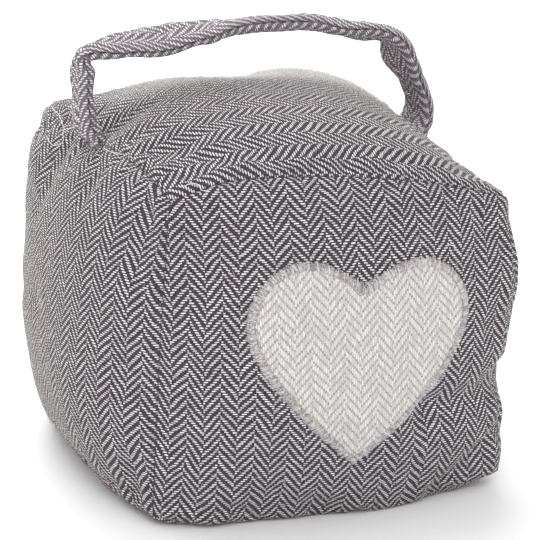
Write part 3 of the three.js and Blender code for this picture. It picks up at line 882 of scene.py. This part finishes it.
def spun_thread(name, dark, pale):
    """Matt spun wool, whose threads or fibres differ in tone, with a fine twist along each."""
    material = bpy.data.materials.new(name)
    material.use_nodes = True
    tree = material.node_tree
    shader = tree.nodes["Principled BSDF"]
    tone = node(tree, "ShaderNodeAttribute", attribute_name="tone").outputs["Fac"]
    run = node(tree, "ShaderNodeAttribute", attribute_name="run").outputs["Fac"]
    angle = node(tree, "ShaderNodeMath", {0: run, 1: 2 * math.pi / PLY_TURN}, operation="MULTIPLY")
    angle = angle.outputs[0]
    ply = node(tree, "ShaderNodeMath", {0: angle}, operation="SINE").outputs[0]
    place = node(tree, "ShaderNodeTexCoord").outputs["Object"]
    fleck = node(tree, "ShaderNodeTexNoise", {"Vector": place, "Scale": FLECKS_PER_METRE, "Detail": 2})
    fleck = fleck.outputs["Fac"]
    mixed = node(tree, "ShaderNodeMath", {0: tone, 1: 0.5, 2: fleck}, operation="MULTIPLY_ADD").outputs[0]
    shade = node(tree, "ShaderNodeMapRange", {0: mixed, 1: 0.45, 2: 1.05}).outputs[0]
    colour = node(tree, "ShaderNodeMix", {0: shade, 6: linear(dark), 7: linear(pale)},
                  data_type="RGBA").outputs[2]
    bump = node(tree, "ShaderNodeBump", {"Strength": 0.3, "Distance": 0.0001, "Height": ply})
    tree.links.new(colour, shader.inputs["Base Color"])
    tree.links.new(bump.outputs[0], shader.inputs["Normal"])
    shader.inputs["Roughness"].default_value = 0.85
    shader.inputs["Specular IOR Level"].default_value = 0.2
    return material


chance = np.random.default_rng(7)
stitch_run = (np.arange(STITCHES) + chance.uniform(*STITCH_STRAY, STITCHES)) * run[-1] / STITCHES
forward = unit(at_run(stitch_run + TANGENT_REACH) - at_run(stitch_run - TANGENT_REACH))
inward = np.stack([forward[:, 1], -forward[:, 0]], axis=1)
slant = forward * np.where(np.arange(STITCHES) % 2, 1, -1)[:, None] * STITCH_SLANT
from_notch = np.minimum(stitch_run % run[-1], run[-1] - stitch_run % run[-1])
stitch_width = STITCH_WIDTH + NOTCH_EXTRA * np.exp(-(from_notch / NOTCH_REACH) ** 2)[:, None]
outer_end = chance.uniform(*STITCH_OUTER_STRAY, (STITCHES, 1))
inner_end = stitch_width + chance.uniform(*STITCH_INNER_STRAY, (STITCHES, 1))
outer = at_run(stitch_run) - inward * outer_end - slant
inner = at_run(stitch_run) + inward * inner_end + slant
share = np.linspace(0, 1, STITCH_POINTS)
stitch_xz = outer[:, None] + (inner - outer)[:, None] * share[None, :, None]
arch = np.interp(share, STITCH_SHARES, STITCH_HEIGHTS)
lift = arch[None, :] * chance.uniform(*STITCH_LIFTS, (STITCHES, 1))
stitch_y = np.array([[on_front(x, z) for x, z in row] for row in stitch_xz]) - lift
stitch_paths = np.stack([stitch_xz[..., 0], stitch_y, stitch_xz[..., 1]], axis=2)
edging = new_threads("edging", stitch_paths, STITCH_RADIUS, np.array([0, -1, 0]))
edging.data.materials.append(spun_thread("grey_spun_thread", "#9A9295", "#EAE6E6"))
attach(edging, "root")
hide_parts("heart_edging")

# Loose ends of thread
# A few ends of the pale weft have worked out of the seams, as the photograph shows. Each is a
# hair-thin tube that lies just off the cloth.
LOOSE_ENDS = [
    [
        (-1, 0.84, 1), (-1, 0.57, 0.97), (-1, 0.38, 0.93),
        (-1, 0.34, 0.9), (-1, 0.41, 0.85), (-1, 0.53, 0.86),
    ],
    [(-0.93, -0.97, 1), (-0.88, -0.98, 1), (-0.83, -1, 0.99), (-0.82, -1, 0.96), (-0.79, -1, 0.95)],
    [(-1, -0.12, 0.98), (-1, -0.22, 0.97), (-1, -0.32, 0.98), (-0.99, -0.36, 1)],
    [(0.53, -1, 0.66), (0.55, -1, 0.65), (0.57, -1, 0.64), (0.57, -1, 0.62)],
    [(-1, 0.4, 0.94), (-1, 0.37, 0.96), (-1, 0.32, 0.97), (-1, 0.27, 0.98), (-1, 0.19, 0.99)],
]
LOOSE_POINTS = 24
LOOSE_RADIUS = 0.14
# How far off the cloth a loose end lies at its ends, and how much further at its middle
LOOSE_LIFT = 0.3
LOOSE_ARCH = 0.8


def on_cloth(places, lifts):
    """The places moved to the bag's cloth and lifted off it, in mm."""
    moved = []
    for place, lift in zip(places, lifts):
        nearest, normal = bag_tree.find_nearest(Vector(place) * MM)[:2]
        moved.append(np.array(nearest) / MM + np.array(normal) * lift)
    return np.array(moved)


loose_lift = LOOSE_LIFT + LOOSE_ARCH * np.sin(np.linspace(0, math.pi, LOOSE_POINTS))
loose_shares = np.linspace(0, 1, LOOSE_POINTS)
loose_paths = np.array([
    on_cloth(smooth_line(bag_surface(np.array(end, dtype=float)), loose_shares), loose_lift)
    for end in LOOSE_ENDS
])
loose = new_threads("loose_ends", loose_paths, LOOSE_RADIUS, unit(loose_paths - BAG_MIDDLE))
loose.data.materials.append(spun_thread("pale_weft_thread", "#DAD6D6", "#F0EDEE"))
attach(loose, "root")

# Raised fibre
# Short pale fibres stand off the woven cloth all over, and most thickly along the back of the top,
# where the cloth is brushed up. Each is a thin three-sided tube that starts in the cloth.
FIBRE_POINTS = 3
FIBRE_RADIUS = 0.055
FIBRE_SIDES = 3
FIBRE_ROOT_DEPTH = 0.1
FIBRE_SHORTEST = 0.6
# How much a fibre stands up from the cloth, against how far it leans and curls at random
FIBRE_RISE = 0.8
FIBRE_LEAN = 0.6
FIBRE_CURL = 0.5
# Fibres on the base would stick through the floor
FIBRE_LOWEST = 3
cloth_points = read_points(bag.data) / MM
faces = np.array([p.vertices[:] for p in bag.data.polygons])
face_height = cloth_points[faces].mean(axis=1)[:, 2]
face_normal = np.array([p.normal[:] for p in bag.data.polygons])
face_area = np.array([p.area for p in bag.data.polygons]) / MM ** 2


def raise_fibres(name, count, density, longest, material):
    """Scattered short fibres, as many on each face as its area and the density call for."""
    weight = face_area * density
    picked = chance.choice(len(faces), count, p=weight / weight.sum())
    corner_share = chance.dirichlet((1, 1, 1, 1), count)
    root = (cloth_points[faces[picked]] * corner_share[..., None]).sum(axis=1)
    lean = unit(face_normal[picked] * FIBRE_RISE + chance.normal(0, FIBRE_LEAN, (count, 3)))
    curl = chance.normal(0, FIBRE_CURL, (count, 3))
    fibre_length = chance.uniform(FIBRE_SHORTEST, longest, (count, 1, 1))
    reach = np.linspace(0, 1, FIBRE_POINTS)[None, :, None]
    paths = (root - face_normal[picked] * FIBRE_ROOT_DEPTH)[:, None]
    paths = paths + fibre_length * (lean[:, None] * reach + curl[:, None] * reach ** 2 / 2)
    turned = unit(chance.normal(0, 1, (count, 1, 3)))
    fuzz = new_threads(name, paths, FIBRE_RADIUS, turned, FIBRE_SIDES)
    fuzz.data.materials.append(material)
    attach(fuzz, "root")


raise_fibres("raised_fibre", count=6000, density=(face_height > FIBRE_LOWEST) * 1.0, longest=1.6,
             material=spun_thread("pale_raised_fibre", "#CFC8C3", "#FBF7F2"))
# The brushed fibres get paler colours than the fibres elsewhere: painted highlight for the light that
# grazes the back of the top from behind
raise_fibres("brushed_fibre", count=13500, density=nap_and_painted_highlight[faces].mean(axis=1), longest=1.4,
             material=spun_thread("brushed_fibre_painted_highlight", "#E2DEDC", "#FFFEFD"))

# The floor, lamps and camera
# The floor is matt white paper, which takes a soft shadow and no gloss. Three soft lamps and a
# plain white world light the door stop evenly, and the camera has the photograph's viewpoint.
FLOOR_SIZE = 8
# The world's light, which the camera alone sees as full white
AMBIENT = 0.73
LAMP_TARGET = Vector((0, 0, 0.07))
bm = bmesh.new()
bmesh.ops.create_grid(bm, x_segments=1, y_segments=1, size=FLOOR_SIZE / 2)
floor = new_piece("floor", bm)
white = bpy.data.materials.new("matt_white_paper")
white.use_nodes = True
white.node_tree.nodes["Principled BSDF"].inputs["Base Color"].default_value = linear("#FFFFFF")
white.node_tree.nodes["Principled BSDF"].inputs["Roughness"].default_value = 1
white.node_tree.nodes["Principled BSDF"].inputs["Specular IOR Level"].default_value = 0
floor.data.materials.append(white)

world = bpy.data.worlds.new("soft_studio")
bpy.context.scene.world = world
world.use_nodes = True
tree = world.node_tree
background = tree.nodes["Background"]
rays = node(tree, "ShaderNodeLightPath")
strength = node(tree, "ShaderNodeMath", {0: rays.outputs["Is Camera Ray"], 1: 1 - AMBIENT, 2: AMBIENT},
                operation="MULTIPLY_ADD")
tree.links.new(strength.outputs[0], background.inputs["Strength"])
background.inputs["Color"].default_value = (1, 1, 1, 1)


def soft_lamp(name, place, size, power):
    data = bpy.data.lights.new(name, "AREA")
    data.shape = "SQUARE"
    data.size = size
    data.energy = power
    lamp = bpy.data.objects.new(name, data)
    lamp.location = place
    lamp.rotation_euler = (LAMP_TARGET - Vector(place)).to_track_quat("-Z", "Y").to_euler()
    bpy.context.scene.collection.objects.link(lamp)


soft_lamp("lamp_above", (-0.2, 0.5, 1.1), size=0.9, power=6.2)
soft_lamp("lamp_front", (-0.3, -1.0, 1.0), size=0.9, power=5.4)
soft_lamp("lamp_behind", (0.3, 1.25, 0.7), size=1.0, power=15)

CAMERA_AZIMUTH = math.radians(-20.12)
CAMERA_ELEVATION = math.radians(16.77)
CAMERA_ROLL = math.radians(0.71)
CAMERA_DISTANCE = 0.774
CAMERA_TARGET = Vector((0, 0, 0.0559))
FOCAL_PIXELS = 2197
IMAGE_PIXELS = 540
MIDDLE_PIXEL = (273.5, 295.8)
SENSOR = 36
camera_data = bpy.data.cameras.new("camera")
camera_data.sensor_width = SENSOR
camera_data.lens = FOCAL_PIXELS * SENSOR / IMAGE_PIXELS
camera_data.shift_x = 0.5 - MIDDLE_PIXEL[0] / IMAGE_PIXELS
camera_data.shift_y = MIDDLE_PIXEL[1] / IMAGE_PIXELS - 0.5
camera = bpy.data.objects.new("camera", camera_data)
back = Vector((
    math.sin(CAMERA_AZIMUTH) * math.cos(CAMERA_ELEVATION),
    -math.cos(CAMERA_AZIMUTH) * math.cos(CAMERA_ELEVATION),
    math.sin(CAMERA_ELEVATION),
))
camera.location = CAMERA_TARGET + back * CAMERA_DISTANCE
roll = Matrix.Rotation(CAMERA_ROLL, 3, "Z").to_quaternion()
camera.rotation_euler = ((-back).to_track_quat("-Z", "Y") @ roll).to_euler()
bpy.context.scene.collection.objects.link(camera)
bpy.context.scene.camera = camera
bpy.context.scene.view_settings.view_transform = "Standard"
